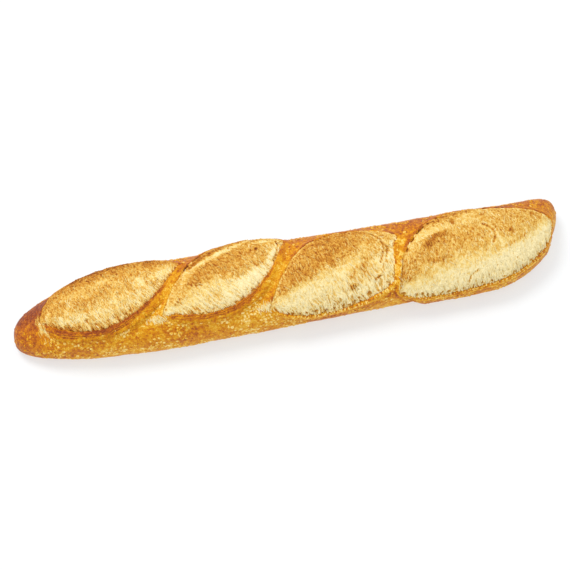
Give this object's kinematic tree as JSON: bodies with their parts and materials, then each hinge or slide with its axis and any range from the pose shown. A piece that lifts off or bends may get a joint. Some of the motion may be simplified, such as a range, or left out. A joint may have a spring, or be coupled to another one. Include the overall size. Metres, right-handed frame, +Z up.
{
  "type": "baguette",
  "caption": "Long crusty loaf with slanted scores burst open along its top, a bluntly pointed left tip, a right tip swung to the back, and a flat sole.",
  "frame": {"origin": "on the table under the middle of the loaf's bounding box, at the level of the sole", "axes": "+X along the loaf towards the swung tip, +Y towards the back edge of the scores, +Z up from the sole"},
  "size_m": [0.43, 0.0714, 0.0539],
  "materials": {
    "crust": "baked crust, matte to satin"
  },
  "bodies": {
    "root": {"baguette": "crust"}
  },
  "joints": []
}
